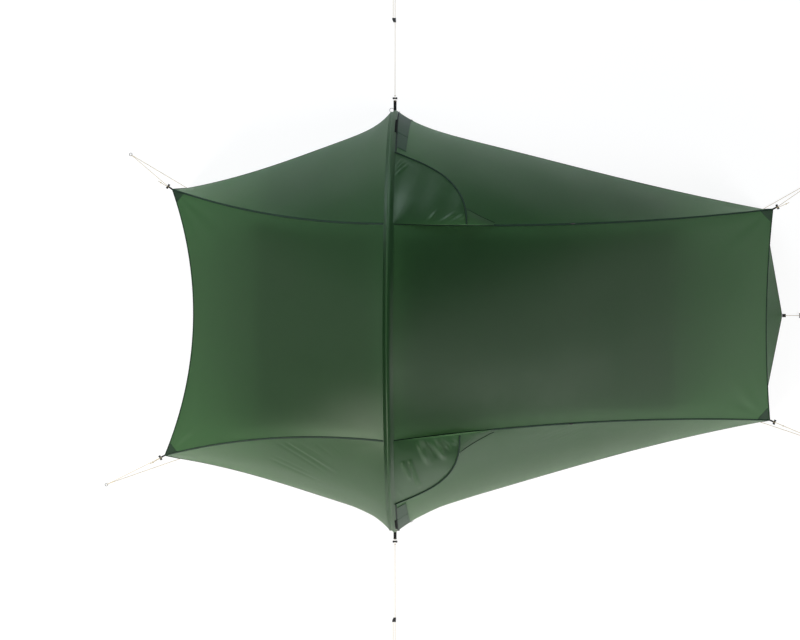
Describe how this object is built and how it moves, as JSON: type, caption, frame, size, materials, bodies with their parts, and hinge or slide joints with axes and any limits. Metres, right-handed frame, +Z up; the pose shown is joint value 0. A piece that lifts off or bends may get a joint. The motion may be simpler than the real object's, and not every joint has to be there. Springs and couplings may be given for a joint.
{
  "type": "two-person tent",
  "caption": "Low dome tent for two people with one arch pole, corner struts, side doors under vent hoods, and an inner tent",
  "frame": {"origin": "on the ground under the crown of the arch pole, on the underside of the inner tent's floor", "axes": "+X towards the foot end, along the tent; +Y towards its left side, along the arch's span; +Z up"},
  "size_m": [4.2915, 4.0536, 1.0578],
  "materials": {
    "fly": "satin",
    "trim": "matte",
    "vent_mesh": "matte",
    "inner": "satin",
    "floor": "satin",
    "pole": "satin",
    "ring": "satin",
    "plastic": "matte",
    "cord": "matte",
    "zip": "satin"
  },
  "bodies": {
    "tent": {"arch_cord_left": "cord", "arch_cord_right": "cord", "arch_foot_left": "trim", "arch_foot_right": "trim", "arch_pole_section_1": "pole", "arch_pole_section_2": "pole", "arch_pole_section_3": "pole", "arch_pole_section_4": "pole", "arch_pole_section_5": "pole", "arch_pole_section_6": "pole", "arch_pole_section_7": "pole", "corner_cord_foot_left": "cord", "corner_cord_foot_right": "cord", "corner_cord_head_left": "cord", "corner_cord_head_right": "cord", "corner_strut_foot_left": "pole", "corner_strut_foot_right": "pole", "corner_strut_head_left": "pole", "corner_strut_head_right": "pole", "door_toggle_left": "plastic", "door_toggle_right": "plastic", "end_wall_foot": "fly", "end_wall_head": "fly", "foot_cord": "cord", "foot_webbing_loop": "trim", "inner_canopy": "inner", "inner_floor": "floor", "line_lock_arch_left": "plastic", "line_lock_arch_right": "plastic", "line_lock_foot": "plastic", "line_lock_foot_left": "plastic", "line_lock_foot_right": "plastic", "line_lock_head_left": "plastic", "line_lock_head_right": "plastic", "peg_ring_foot_left": "ring", "peg_ring_foot_right": "ring", "peg_ring_head_left": "ring", "peg_ring_head_right": "ring", "pole_sleeve": "trim", "roof_foot": "fly", "roof_head": "fly", "side_panel_foot_left": "fly", "side_panel_foot_right": "fly", "side_panel_head_left": "fly", "side_panel_head_right": "fly", "vent_gusset_left": "fly", "vent_gusset_right": "fly", "vent_mesh_left": "vent_mesh", "vent_mesh_right": "vent_mesh"},
    "door_left": {"door_left": "fly"},
    "door_right": {"door_right": "fly"},
    "vent_hood_left": {"vent_hood_left": "fly"},
    "vent_hood_right": {"vent_hood_right": "fly"},
    "zip_slider_left": {"zip_slider_left": "zip"},
    "zip_slider_right": {"zip_slider_right": "zip"},
    "line_runner_left": {"line_runner_left": "plastic"},
    "line_runner_right": {"line_runner_right": "plastic"},
    "inner_door_left": {"inner_door_left": "vent_mesh"},
    "inner_door_right": {"inner_door_right": "vent_mesh"}
  },
  "joints": [
    {"name": "door_left_fold", "type": "hinge", "parent": "tent", "child": "door_left", "pos_m": [0.53674, 0.55923, 0.81035], "axis": [0.6251, 0.3489, -0.6982], "range_deg": [0, 150]},
    {"name": "door_right_fold", "type": "hinge", "parent": "tent", "child": "door_right", "pos_m": [0.53367, -0.53317, 0.80858], "axis": [-0.6274, 0.3283, 0.7061], "range_deg": [0, 150]},
    {"name": "vent_hood_left_close", "type": "hinge", "parent": "tent", "child": "vent_hood_left", "pos_m": [0.02124, 0.51288, 0.94043], "axis": [0, 0.8204, -0.5718], "range_deg": [0, 6]},
    {"name": "vent_hood_right_close", "type": "hinge", "parent": "tent", "child": "vent_hood_right", "pos_m": [0.02128, -0.51287, 0.94042], "axis": [0, 0.8204, 0.5718], "range_deg": [0, 6]},
    {"name": "zip_slider_left_run", "type": "hinge", "parent": "tent", "child": "zip_slider_left", "pos_m": [0, 0, -0.18958], "axis": [1, 0, 0], "range_deg": [0, 27]},
    {"name": "zip_slider_right_run", "type": "hinge", "parent": "tent", "child": "zip_slider_right", "pos_m": [0, 0, -0.18958], "axis": [-1, 0, 0], "range_deg": [0, 27]},
    {"name": "line_runner_left_slide", "type": "slide", "parent": "tent", "child": "line_runner_left", "axis": [0, 1, 0], "range_m": [0, 0.18]},
    {"name": "line_runner_right_slide", "type": "slide", "parent": "tent", "child": "line_runner_right", "axis": [0, -1, 0], "range_m": [0, 0.18]},
    {"name": "inner_door_left_fold", "type": "hinge", "parent": "tent", "child": "inner_door_left", "pos_m": [0.02, 0.58229, 0.1508], "axis": [0.9982, -0.0601, 0], "range_deg": [0, 95]},
    {"name": "inner_door_right_fold", "type": "hinge", "parent": "tent", "child": "inner_door_right", "pos_m": [0.02, -0.58229, 0.1508], "axis": [-0.998, -0.063, 0], "range_deg": [0, 95]}
  ]
}
